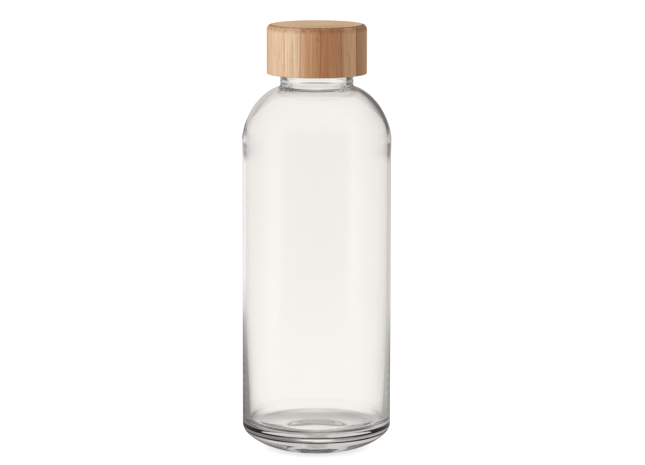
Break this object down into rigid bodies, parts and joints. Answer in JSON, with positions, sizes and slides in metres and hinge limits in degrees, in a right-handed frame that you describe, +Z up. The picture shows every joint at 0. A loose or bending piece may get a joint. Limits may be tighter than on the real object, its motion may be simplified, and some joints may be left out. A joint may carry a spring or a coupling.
{
  "type": "glass water bottle",
  "caption": "Clear glass water bottle with a rounded shoulder and a turned bamboo screw lid that unscrews and lifts off the mouth.",
  "frame": {"origin": "centre of the foot ring on the bottle's axis, at the height of the surface it stands on", "axes": "+Z up along the bottle's axis to the lid; +Y away from the viewer, +X to the viewer's right"},
  "size_m": [0.0752, 0.0752, 0.2155],
  "materials": {
    "clear_glass": "clear blown soda-lime glass, polished, faintly grey in its thick base",
    "bamboo": "turned laminated bamboo, sanded satin, vertical strips of slightly different tone with fine dark fibres",
    "white_plastic": "natural white moulded polypropylene, satin",
    "silicone": "translucent white silicone, soft matte"
  },
  "bodies": {
    "bottle": {"glass_bottle": "clear_glass"},
    "seal": {"seal_ring": "silicone"},
    "lid": {"bamboo_lid": "bamboo", "threaded_insert": "white_plastic"}
  },
  "joints": [
    {"name": "lid_lift", "type": "slide", "parent": "bottle", "child": "seal", "axis": [0, 0, 1], "range_m": [0, 0.0212]},
    {"name": "lid_turn", "type": "hinge", "parent": "seal", "child": "lid", "pos_m": [0, 0, 0.2], "axis": [0, 0, 1], "range_deg": [0, 1800]}
  ],
  "couplings": [
    {"joint": "lid_lift", "follows": "lid_turn", "m_per_rad": 0.0006737}
  ]
}
